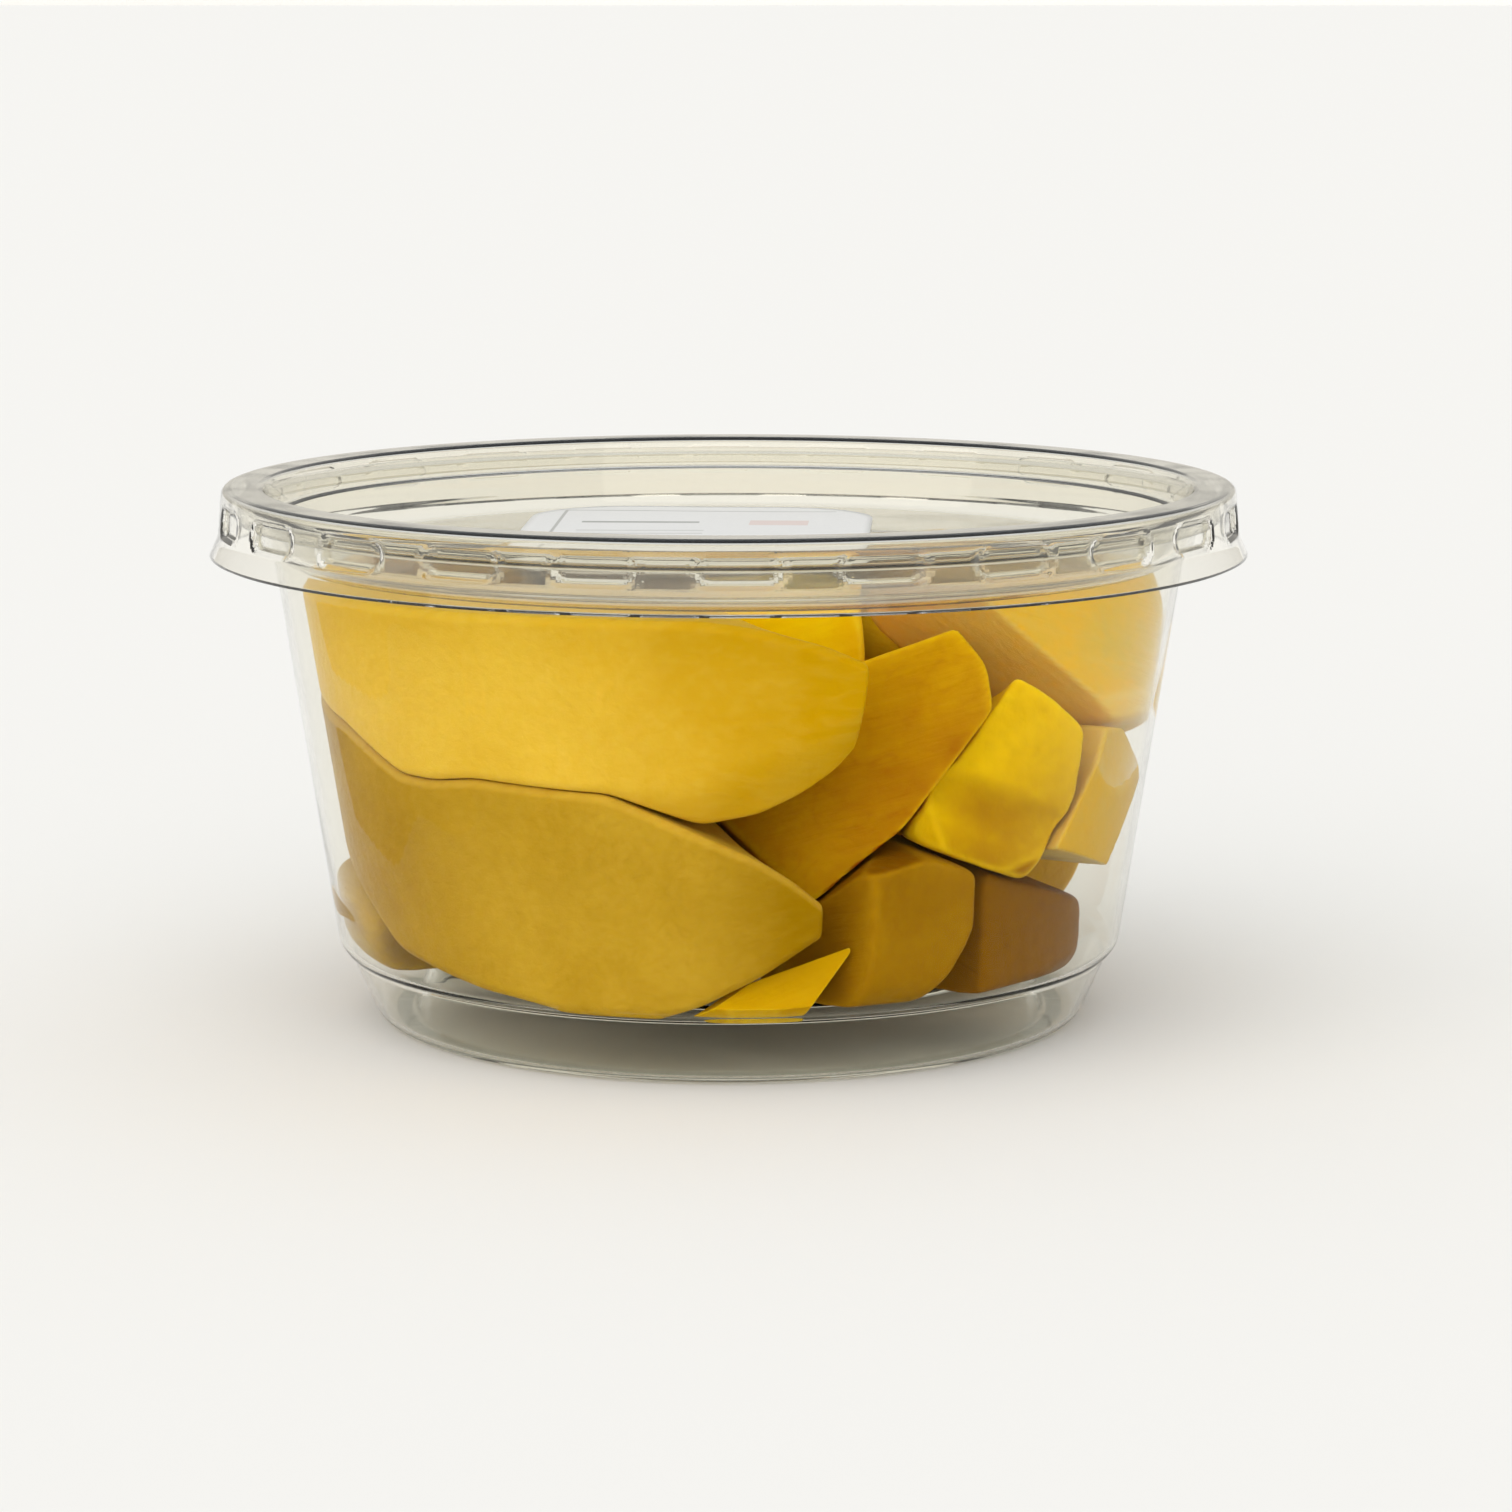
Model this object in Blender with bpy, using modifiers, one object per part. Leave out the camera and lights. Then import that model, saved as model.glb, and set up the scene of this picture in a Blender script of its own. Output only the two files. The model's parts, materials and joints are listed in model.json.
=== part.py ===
"""Cut mango in a clear round tub: thermoformed tub, press-fit lid, paper label, mango pieces.

The tub stands on the ring of its foot, centred on the origin, with the base at z = 0.
+Z is up and -Y is the front. Sizes below are in millimetres, and meshes are scaled to
metres when they are made.
"""
from math import atan2, cos, degrees, pi, radians, sin

import bmesh
import bpy
from mathutils import Matrix, Vector
from mathutils.bvhtree import BVHTree

MM = 0.001
MERGE = 1e-5
CLEAR = (0.86, 0.88, 0.86)

# Tub: one thermoformed shell, its outline measured on the outer side
TUB_WALL = 0.7
WALL_RADIUS = 45.39
WALL_RADIUS_HEIGHT = 14.17
WALL_SLOPE = 0.153
FOOT_RADIUS = 38.15
FOOT_RING_INNER = 35.6
KICK_UP_RADIUS = 33.2
KICK_UP_HEIGHT = 6.4
FOOT_CORNER = 2.0
FOOT_CORNER_ROUNDING = 1.8
SHOULDER_RADIUS = 43.3
SHOULDER_HEIGHT = 7.4
SHOULDER_TOP = 8.3
SHOULDER_ROUNDING = 1.1
WALL_TOP = 53.0
NECK_STEP = 1.1
NECK_RADIUS = 53.2
RIM_HEIGHT = 58.3
RIM_RADIUS = 54.5
RIM_SAG = 0.3
LIP_DROP = 1.2
LIP_FLARE = 0.2
TUB_STEPS = 56
TUB_CHORDS = 2

# Lid: one thermoformed shell, its outline measured on the upper side
LID_WALL = 0.5
LID_TOP = 60.4
PANEL_HEIGHT = 52.4
PANEL_RADIUS = 49.0
PANEL_ROUNDING = 1.1
LEDGE_RADIUS = 50.7
LEDGE_HEIGHT = 57.1
LEDGE_WIDTH = 0.7
CROWN_INNER = 52.4
CROWN_OUTER = 57.0
CROWN_ROUNDING = 0.8
SKIRT_RADIUS = 57.1
SKIRT_FLARE = 0.35
SKIRT_BREAK = 54.9
HEM_RADIUS = 58.5
HEM_HEIGHT = 52.6
LUG_COUNT = 24
LUG_OFFSET = 1.1
LUG_DEPTH = 0.6
LUG_LOW = 55.5
LUG_HIGH = 58.8
LUG_EDGE = 0.7
STEPS_PER_LUG = 5
LID_CHORDS = 1

# Label: a paper sheet on the lid's panel
LABEL_WIDTH = 41.0
LABEL_LENGTH = 60.0
LABEL_CORNER = 12.0
LABEL_THICKNESS = 0.2
LABEL_CENTRE = (-4.2, 14.0)
LABEL_TURN = -3.0

# Fit between separate pieces, and the room that the mango has inside the tub
GAP = 0.3
FLOOR_TOP = KICK_UP_HEIGHT + TUB_WALL + GAP
CEILING = PANEL_HEIGHT - LID_WALL - GAP - 0.1
SHOULDER_EASE = 2.0
SHOULDER_SLANT = 45
KNIFE_EDGE = 0.5
SHARP_ANGLE = radians(35)
BLANK_ROUNDING = 3.0

# Cheeks: round edges, the flat back's taper, and the knife bevel's lean to its height
CHEEK_EDGE = 1.2
CHEEK_BACK_EDGE = 1.5
CHEEK_BACK_TAPER = 0.16
CHEEK_BEVEL_LEAN = 0.7
CHEEK_STATIONS = 19


def wall_radius(height):
    """Outer radius of the tub's straight wall at a height."""
    return WALL_RADIUS + WALL_SLOPE * (height - WALL_RADIUS_HEIGHT)


def room_radius(height):
    """Radius that the mango may reach at a height, just inside the tub's wall."""
    return wall_radius(height) - TUB_WALL - GAP


def outward(turn, lift=0.0):
    """Unit vector turned from the front (-Y) toward +X by turn degrees, and raised by lift."""
    a, b = radians(turn), radians(lift)
    return Vector((sin(a) * cos(b), -cos(a) * cos(b), sin(b)))


def material(name, colour, roughness, transmission=0.0):
    """Principled material with one colour."""
    made = bpy.data.materials.new(name)
    made.use_nodes = True
    shader = made.node_tree.nodes["Principled BSDF"]
    shader.inputs["Base Color"].default_value = (*colour, 1.0)
    shader.inputs["Roughness"].default_value = roughness
    shader.inputs["Metallic"].default_value = 0.0
    shader.inputs["Transmission Weight"].default_value = transmission
    made.diffuse_color = (*colour, 1.0)
    return made


def add_object(name, bm, finish, collection, smooth=True):
    """Turn a bmesh in millimetres into a named object in metres."""
    bmesh.ops.scale(bm, vec=Vector((MM, MM, MM)), verts=bm.verts)
    mesh = bpy.data.meshes.new(name)
    bm.to_mesh(mesh)
    bm.free()
    if smooth:
        mesh.shade_smooth()
        mesh.set_sharp_from_angle(angle=SHARP_ANGLE)
    mesh.materials.append(finish)
    made = bpy.data.objects.new(name, mesh)
    collection.objects.link(made)
    return made


def rounded(corners, chords):
    """Outline through (radius, height, rounding) corners, each rounding a curve of some chords."""
    outline = []
    for i, (radius, height, rounding) in enumerate(corners):
        corner = Vector((radius, height))
        if rounding == 0:
            outline.append(corner)
            continue
        start = corner + (Vector(corners[i - 1][:2]) - corner).normalized() * rounding
        end = corner + (Vector(corners[i + 1][:2]) - corner).normalized() * rounding
        for k in range(chords + 1):
            t = k / chords
            outline.append(start * (1 - t) ** 2 + corner * 2 * t * (1 - t) + end * t ** 2)
    return outline


def turned_mesh(name, outline, steps, start_turn):
    """Open surface of a profile turned round Z by a Screw modifier, in metres."""
    profile = bpy.data.meshes.new(name + "_profile")
    points = [(outward(start_turn) * radius + Vector((0, 0, height))) * MM for radius, height in outline]
    profile.from_pydata(points, [(i, i + 1) for i in range(len(points) - 1)], [])
    guide = bpy.data.objects.new(name + "_profile", profile)
    bpy.context.scene.collection.objects.link(guide)
    screw = guide.modifiers.new("turn", "SCREW")
    screw.axis = "Z"
    screw.steps = steps
    screw.render_steps = steps
    screw.use_merge_vertices = True
    screw.merge_threshold = MERGE
    turned = bpy.data.meshes.new_from_object(guide.evaluated_get(bpy.context.evaluated_depsgraph_get()))
    bpy.data.objects.remove(guide)
    turned.name = name
    turned.shade_smooth()
    turned.set_sharp_from_angle(angle=SHARP_ANGLE)
    return turned


def add_shell(name, mesh, finish, wall, collection):
    """Give an open surface its wall, on its inner side."""
    mesh.materials.append(finish)
    made = bpy.data.objects.new(name, mesh)
    collection.objects.link(made)
    solid = made.modifiers.new("wall", "SOLIDIFY")
    solid.thickness = wall * MM
    solid.offset = -1.0
    solid.use_even_offset = True


def make_tub(collection):
    """Round tub: flanged rim, sloped wall, shoulder, foot ring and kicked-up floor."""
    corners = [
        (RIM_RADIUS + LIP_FLARE, RIM_HEIGHT - LIP_DROP, 0),
        (RIM_RADIUS, RIM_HEIGHT, 0),
        (NECK_RADIUS, RIM_HEIGHT - RIM_SAG, 0),
        (wall_radius(WALL_TOP) + NECK_STEP, WALL_TOP + NECK_STEP, 0),
        (wall_radius(WALL_TOP), WALL_TOP, 0),
        (wall_radius(SHOULDER_TOP), SHOULDER_TOP, SHOULDER_ROUNDING),
        (SHOULDER_RADIUS, SHOULDER_HEIGHT, 0),
        (FOOT_RADIUS + FOOT_CORNER, 0, FOOT_CORNER_ROUNDING),
        (FOOT_RING_INNER, 0, 0),
        (KICK_UP_RADIUS, KICK_UP_HEIGHT, 0),
        (0, KICK_UP_HEIGHT, 0),
    ]
    mesh = turned_mesh("tub", rounded(corners, TUB_CHORDS), TUB_STEPS, 0)
    add_shell("tub", mesh, material("clear_pet_tub", CLEAR, 0.06, 1.0), TUB_WALL, collection)


def press_lugs(mesh):
    """Press the holding lugs into the lid's skirt: long dents with sloped ends."""
    pitch = 360.0 / LUG_COUNT
    step = pitch / STEPS_PER_LUG
    for v in mesh.vertices:
        place = v.co / MM
        radius = place.xy.length
        if radius < CROWN_OUTER or not LUG_LOW + LUG_EDGE / 2 < place.z < LUG_HIGH - LUG_EDGE / 2:
            continue
        turn = degrees(atan2(place.x, -place.y)) - LUG_OFFSET
        from_middle = abs((turn + pitch / 2) % pitch - pitch / 2)
        if from_middle < 1.5 * step:
            v.co.xy *= (radius - LUG_DEPTH) / radius


def make_lid(collection):
    """Press-fit lid: sunk panel, stepped plug wall, crown, skirt with lugs and a flared hem."""
    corners = [
        (0, PANEL_HEIGHT, 0),
        (PANEL_RADIUS, PANEL_HEIGHT, PANEL_ROUNDING),
        (LEDGE_RADIUS, LEDGE_HEIGHT, 0),
        (LEDGE_RADIUS + LEDGE_WIDTH, LEDGE_HEIGHT, 0),
        (CROWN_INNER, LID_TOP, CROWN_ROUNDING / 2),
        (CROWN_OUTER, LID_TOP, CROWN_ROUNDING),
        (SKIRT_RADIUS, LUG_HIGH, 0),
        (SKIRT_RADIUS + SKIRT_FLARE / 3, LUG_HIGH - LUG_EDGE, 0),
        (SKIRT_RADIUS + SKIRT_FLARE / 2, LUG_LOW + LUG_EDGE, 0),
        (SKIRT_RADIUS + SKIRT_FLARE * 2 / 3, LUG_LOW, 0),
        (SKIRT_RADIUS + SKIRT_FLARE, SKIRT_BREAK, 0),
        (HEM_RADIUS, HEM_HEIGHT, 0),
    ]
    mesh = turned_mesh("lid", rounded(corners, LID_CHORDS), LUG_COUNT * STEPS_PER_LUG, LUG_OFFSET)
    press_lugs(mesh)
    add_shell("lid", mesh, material("clear_pet_lid", CLEAR, 0.06, 1.0), LID_WALL, collection)


def make_label(collection):
    """Paper label with round corners, lying on the lid's panel."""
    bm = bmesh.new()
    bmesh.ops.create_cube(bm, size=1.0)
    bmesh.ops.scale(bm, vec=(LABEL_WIDTH, LABEL_LENGTH, LABEL_THICKNESS), verts=bm.verts)
    upright = [e for e in bm.edges if abs(e.verts[0].co.z - e.verts[1].co.z) > LABEL_THICKNESS / 2]
    bmesh.ops.bevel(bm, geom=upright, offset=LABEL_CORNER, offset_type="OFFSET", segments=6,
                    profile=0.5, affect="EDGES")
    bmesh.ops.rotate(bm, matrix=Matrix.Rotation(radians(LABEL_TURN), 3, "Z"), verts=bm.verts)
    lift = PANEL_HEIGHT + GAP + LABEL_THICKNESS / 2
    bmesh.ops.translate(bm, vec=(*LABEL_CENTRE, lift), verts=bm.verts)
    add_object("label", bm, material("label_paper", (0.80, 0.79, 0.76), 0.6), collection, smooth=False)


def between(turn, stations):
    """Value at a turn, on straight lines between (turn, value) stations."""
    for (a, low), (b, high) in zip(stations, stations[1:]):
        if turn <= b:
            return low + (high - low) * (turn - a) / (b - a)
    return stations[-1][1]


def cheek(middle_turn, back, back_share, top, bottom, strip):
    """Long mango cheek lying along the wall, as a loft of eight-sided sections.

    Each section stands at one turn round the tub. Its front lies on the wall from bottom to
    top, and its back is flat, at a distance from the tub's axis, and shorter by back_share.
    strip is the height of the knife bevel along the lower front edge.
    """
    bm = bmesh.new()
    rings = []
    first, last = bottom[0][0], bottom[-1][0]
    facing, along = outward(middle_turn), outward(middle_turn + 90)
    for i in range(CHEEK_STATIONS):
        turn = first + (last - first) * i / (CHEEK_STATIONS - 1)
        high, low = between(turn, top), between(turn, bottom)
        cut = min(between(turn, strip), 0.45 * (high - low))
        front = outward(turn)
        side = along * (front.dot(along) * room_radius(low) * back_share) + facing * back
        taper = (high - low) * CHEEK_BACK_TAPER
        edge = CHEEK_EDGE
        corners = [
            front * (room_radius(low) - edge / 2 - cut * CHEEK_BEVEL_LEAN) + Vector((0, 0, low)),
            front * room_radius(low) + Vector((0, 0, low + edge / 2 + cut)),
            front * room_radius(high - edge) + Vector((0, 0, high - edge)),
            front * (room_radius(high) - edge) + Vector((0, 0, high)),
            side + facing * CHEEK_BACK_EDGE + Vector((0, 0, high - taper / 3)),
            side + Vector((0, 0, high - taper)),
            side + Vector((0, 0, low + taper)),
            side + facing * CHEEK_BACK_EDGE + Vector((0, 0, low + taper / 3)),
        ]
        rings.append([bm.verts.new(c) for c in corners])
    for ring, after in zip(rings, rings[1:]):
        for k in range(len(ring)):
            bm.faces.new((ring[k], ring[k - 1], after[k - 1], after[k]))
    bm.faces.new(rings[0])
    bm.faces.new(reversed(rings[-1]))
    bmesh.ops.recalc_face_normals(bm, faces=bm.faces)
    return bm


def slice_off(bm, point, normal):
    """Knife cut: remove what lies beyond the plane and close the cut."""
    geometry = bm.verts[:] + bm.edges[:] + bm.faces[:]
    made = bmesh.ops.bisect_plane(bm, geom=geometry, dist=1e-4, plane_co=point, plane_no=normal,
                                  clear_outer=True)
    rim = [e for e in made["geom_cut"] if isinstance(e, bmesh.types.BMEdge) and e.is_boundary]
    if len(rim) > 2:
        bmesh.ops.contextual_create(bm, geom=rim)


def block_axes(turn, lift, roll):
    """Matrix of a block's own axes: along its length, across it and the way its face looks."""
    facing = outward(turn, lift)
    level = outward(turn + 90)
    up = facing.cross(level)
    along = level * cos(radians(roll)) + up * sin(radians(roll))
    return Matrix((along, facing.cross(along), facing)).transposed()


def blank(middle, axes, half):
    """Rounded box of mango flesh before the knife cuts."""
    bm = bmesh.new()
    bmesh.ops.create_cube(bm, size=2.0)
    bmesh.ops.scale(bm, vec=half, verts=bm.verts)
    bmesh.ops.bevel(bm, geom=bm.edges[:], offset=min(BLANK_ROUNDING, min(half) * 0.6),
                    offset_type="OFFSET", segments=2, profile=0.5, affect="EDGES")
    bmesh.ops.transform(bm, matrix=Matrix.Translation(middle) @ axes.to_4x4(), verts=bm.verts)
    return bm


def fit_in_room(bm):
    """Trim a piece to the floor, the lid, the sloped wall and the shoulder of the tub."""
    slice_off(bm, Vector((0, 0, FLOOR_TOP)), Vector((0, 0, -1)))
    slice_off(bm, Vector((0, 0, CEILING)), Vector((0, 0, 1)))
    flat = cos(pi / TUB_STEPS)
    for k in range(TUB_STEPS):
        turn = 360.0 * (k + 0.5) / TUB_STEPS
        wall_point = outward(turn) * (room_radius(0) * flat)
        wall_normal = outward(turn, -degrees(atan2(WALL_SLOPE, 1.0)))
        shoulder_point = outward(turn) * ((room_radius(SHOULDER_TOP) - SHOULDER_EASE) * flat)
        shoulder_point.z = FLOOR_TOP
        shoulder_normal = outward(turn, -SHOULDER_SLANT)
        for point, normal in ((wall_point, wall_normal), (shoulder_point, shoulder_normal)):
            if any((v.co - point).dot(normal) > 0.001 for v in bm.verts):
                slice_off(bm, point, normal)


def wrapped(bm):
    """New bmesh of the tightest convex body round a bmesh's vertices."""
    hull = bmesh.new()
    for v in bm.verts:
        hull.verts.new(v.co)
    made = bmesh.ops.convex_hull(hull, input=hull.verts)
    spare = {g for g in made["geom_interior"] + made["geom_unused"] if isinstance(g, bmesh.types.BMVert)}
    bmesh.ops.delete(hull, geom=list(spare), context="VERTS")
    bmesh.ops.recalc_face_normals(hull, faces=hull.faces)
    return hull


def make_room_beside(bm, middle, placed):
    """Press a piece flat against each one already in the tub that it would run into."""
    for other in placed:
        tree, other_tree = BVHTree.FromBMesh(bm), BVHTree.FromBMesh(other)
        near = [other_tree.find_nearest(v.co)[3] for v in bm.verts]
        near += [tree.find_nearest(v.co)[3] for v in other.verts]
        if min(near) > GAP and not tree.overlap(other_tree):
            continue
        hull = wrapped(other)
        corners = [v.co.copy() for v in hull.verts]
        choices = []
        for side in hull.faces:
            reach = max(corner.dot(side.normal) for corner in corners)
            choices.append((middle.dot(side.normal) - reach, reach, side.normal.copy()))
        hull.free()
        reach, normal = max(choices, key=lambda choice: choice[0])[1:]
        slice_off(bm, normal * (reach + GAP), -normal)


def dull_edges(bm):
    """Take the sharp edges off a knife-cut piece, and return it as one closed convex body."""
    bmesh.ops.dissolve_limit(bm, angle_limit=radians(1), verts=bm.verts, edges=bm.edges)
    sharp = [e for e in bm.edges if e.is_manifold and e.calc_face_angle() > SHARP_ANGLE]
    bmesh.ops.bevel(bm, geom=sharp, offset=KNIFE_EDGE, offset_type="OFFSET", segments=1,
                    profile=0.5, affect="EDGES", clamp_overlap=True)
    bmesh.ops.remove_doubles(bm, verts=bm.verts, dist=0.12)
    dulled = wrapped(bm)
    bm.free()
    return dulled


def make_cheeks(flesh, collection, placed):
    """The two long cheeks that lie on the front wall, one on the other."""
    joint = [(-92, 40.4), (-79, 39.2), (-69, 38.0), (-60, 36.7), (-54, 34.5), (-48, 32.3),
             (-42, 32.2), (-35, 33.0), (-16, 32.4), (-4, 28.9), (4, 29.8), (10, 31.9), (15, 34.7),
             (18, 38.0)]
    crest = [(-92, 47.0), (-84, 50.5), (-20, 51.2), (-3, 51.2), (4, 50.3), (12, 48.3), (18, 46.0)]
    upper_strip = [(-92, 0.3), (-18, 0.3), (-12, 1.0), (2, 4.6), (10, 5.2), (18, 4.0)]
    upper = cheek(-34, 24.0, 0.62, crest, joint, upper_strip)

    under = [(-86, 36.5), (-79, 39.2 - GAP), (-69, 38.0 - GAP), (-60, 36.7 - GAP), (-54, 34.5 - GAP),
             (-48, 32.3 - 2 * GAP), (-42, 32.2 - GAP), (-35, 33.0 - GAP), (-16, 32.4 - GAP), (-6, 29.0),
             (4, 25.4), (9, 22.8), (13.4, 19.8)]
    belly = [(-86, 30.0), (-80, 26.0), (-70, 20.8), (-63, 17.6), (-54, 11.9), (-46, 10.6),
             (-37, 9.3), (-24, 8.0), (-9, 7.9), (-4, 9.2), (4, 12.3), (13.4, 17.2)]
    lower_strip = [(-86, 0.4), (13.4, 0.4)]
    lower = cheek(-32, 23.0, 0.6, under, belly, lower_strip)
    for name, bm in (("upper_cheek", upper), ("lower_cheek", lower)):
        bmesh.ops.triangulate(bm, faces=bm.faces)
        placed.append(bm.copy())
        add_object(name, bm, flesh[name], collection)


# Each block: its middle, the way its face turns, lifts and rolls, its half length, width and
# thickness, and its knife cuts as (turn from its length, slant to its face, reach from middle)
BLOCKS = {
    "slanted_slab": ((17.5, -29.1, 33.5), (-27, 12, 40), (24, 15, 6.0),
                     [(3, -35, 10.0), (-25, -35, 9.0), (-74, -25, 5.0), (-88, -25, 5.5), (72, 0, 10.0)]),
    "creased_block": ((27.6, -24.5, 32.0), (21, -3, 19), (13, 12, 8.0),
                      [(39, -15, 7.5), (28, -10, 8.0), (-25, 0, 8.0), (-52, 0, 8.0), (-130, 0, 10.0),
                       (128, 0, 16.0)]),
    "upright_block": ((15.3, -31.5, 16.5), (26, 0, 0), (12, 12, 9.5),
                      [(100, 4, 8.0), (180, 17, 7.3), (2, 0, 8.0), (-32, -10, 5.6)]),
    "corner_block": ((25.0, -22.0, 15.0), (46, 0, 0), (13, 10, 9.0),
                     [(63, 10, 11.5), (180, 0, 6.0)]),
    "right_slab": ((33.0, -13.5, 45.0), (52, 22, 0), (20, 13, 7.0),
                   [(-131, 0, 8.0), (-96, 0, 11.9)]),
    "right_strip": ((33.8, -15.0, 28.0), (66, 0, 0), (20, 14, 10.0),
                    [(-43, 0, 4.8), (-107, 0, 8.0), (82, 0, 7.2)]),
    "left_wedge": ((-36.5, -11.0, 13.0), (-68, 0, 0), (10, 6, 7.0),
                   [(60, 20, 7.0), (-20, 0, 8.0)]),
    "middle_chunk": ((7.0, -20.5, 44.5), (10, 0, 0), (11, 8, 6.5),
                     [(4, 0, 7.0), (60, -10, 9.5)]),
    "floor_sliver": ((2.5, -41.5, 9.8), (4, 20, 12), (16, 4, 1.0),
                     [(97, 0, 1.6), (-49, 0, 5.5)]),
    "back_right_high": ((20.0, 12.0, 42.5), (120, 10, 15), (19, 9, 14.0),
                        [(35, 10, 14.0), (-140, -8, 13.0)]),
    "back_right_low": ((27.0, 12.0, 19.5), (105, -5, -12), (18, 11, 12.0),
                       [(40, 0, 15.0), (-125, 12, 12.0)]),
    "back_high": ((-10.0, 22.0, 41.5), (190, 8, -8), (23, 10, 13.0),
                  [(20, 12, 19.0), (-160, 5, 20.0), (100, 18, 9.5)]),
    "back_low": ((-6.0, 24.0, 18.5), (176, -4, 9), (22, 11, 14.0),
                 [(-28, 8, 18.0), (155, 0, 19.0)]),
    "left_high": ((-31.0, 3.0, 41.0), (-110, 6, 10), (17, 10, 13.0),
                  [(30, 0, 14.0), (-150, 10, 13.5)]),
    "left_low": ((-26.0, 5.0, 18.5), (-100, -6, -14), (17, 11, 14.0),
                 [(48, 6, 13.0), (-135, 0, 13.0)]),
    "core_chunk": ((2.0, -8.0, 22.0), (20, 15, 35), (17, 12, 12.0),
                   [(70, 12, 11.0), (-60, 0, 12.0)]),
    "core_top": ((-7.0, -4.0, 42.0), (-20, 12, -20), (16, 12, 9.0),
                 [(30, 8, 14.0), (-145, 0, 14.5)]),
}
# Crease across the creased block's face, placed along and across that face
CREASE_MIDDLE = (-2.5, -2.6)
CREASE_TURN = -44.4
CREASE_LENGTH = 40.0
CREASE_HALF_WIDTH = 3.4
CREASE_DEPTH = 1.8
# Colour of each piece that shows, and of those behind them
FLESH = {
    "upper_cheek": (0.86, 0.58, 0.13),
    "lower_cheek": (0.74, 0.42, 0.04),
    "slanted_slab": (0.76, 0.42, 0.02),
    "creased_block": (0.85, 0.55, 0.02),
    "upright_block": (0.68, 0.42, 0.03),
    "corner_block": (0.60, 0.33, 0.02),
    "right_slab": (0.86, 0.60, 0.18),
    "right_strip": (0.84, 0.55, 0.10),
    "left_wedge": (0.70, 0.42, 0.03),
    "middle_chunk": (0.86, 0.60, 0.06),
    "floor_sliver": (0.86, 0.62, 0.06),
}
PLAIN_FLESH = (0.78, 0.48, 0.04)


def add_crease(block, middle, axes, half, collection):
    """Cut a shallow crease across a block's face with a long prism of rhombic section."""
    bm = bmesh.new()
    bmesh.ops.create_cone(bm, cap_ends=True, segments=4, radius1=1.0, radius2=1.0, depth=CREASE_LENGTH)
    bmesh.ops.rotate(bm, matrix=Matrix.Rotation(radians(90), 3, "Y"), verts=bm.verts)
    bmesh.ops.scale(bm, vec=(1.0, CREASE_HALF_WIDTH, CREASE_DEPTH), verts=bm.verts)
    bmesh.ops.rotate(bm, matrix=Matrix.Rotation(radians(CREASE_TURN), 3, "Z"), verts=bm.verts)
    bmesh.ops.translate(bm, vec=(*CREASE_MIDDLE, half[2]), verts=bm.verts)
    bmesh.ops.transform(bm, matrix=Matrix.Translation(middle) @ axes.to_4x4(), verts=bm.verts)
    bmesh.ops.recalc_face_normals(bm, faces=bm.faces)
    cutter = add_object("crease_cutter", bm, block.data.materials[0], collection, smooth=False)
    cutter.hide_render = True
    cutter.display_type = "WIRE"
    cut = block.modifiers.new("crease", "BOOLEAN")
    cut.operation = "DIFFERENCE"
    cut.solver = "EXACT"
    cut.object = cutter


def make_blocks(flesh, collection, cutters, placed):
    """Knife-cut blocks, each trimmed to the tub and pressed flat against those before it."""
    for name, (middle, angles, half, knives) in BLOCKS.items():
        axes = block_axes(*angles)
        bm = blank(middle, axes, half)
        centre = Vector(middle)
        for knife_turn, slant, reach in knives:
            a, b = radians(knife_turn), radians(slant)
            normal = axes @ Vector((cos(a) * cos(b), sin(a) * cos(b), sin(b)))
            slice_off(bm, centre + normal * reach, normal)
        fit_in_room(bm)
        make_room_beside(bm, centre, placed)
        bm = dull_edges(bm)
        placed.append(bm.copy())
        block = add_object(name, bm, flesh[name], collection)
        if name == "creased_block":
            add_crease(block, middle, axes, half, cutters)


def main():
    for old in list(bpy.data.objects):
        bpy.data.objects.remove(old)
    collection = bpy.data.collections.new("cut_mango_tub")
    bpy.context.scene.collection.children.link(collection)
    cutters = bpy.data.collections.new("cutters")
    bpy.context.scene.collection.children.link(cutters)
    make_tub(collection)
    make_lid(collection)
    make_label(collection)
    names = ["upper_cheek", "lower_cheek", *BLOCKS]
    flesh = {name: material("mango_" + name, FLESH.get(name, PLAIN_FLESH), 0.35) for name in names}
    placed = []
    make_cheeks(flesh, collection, placed)
    make_blocks(flesh, collection, cutters, placed)
    for bm in placed:
        bm.free()


main()
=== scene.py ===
"""Cut mango in a clear round tub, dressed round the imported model.

The sections follow the pack as it is filled: the tub, the two long cheeks, the knife-cut
blocks, the lid, the label, and then the studio. Lengths are in metres.
"""
import json
from math import cos, pi, radians, sin

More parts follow.
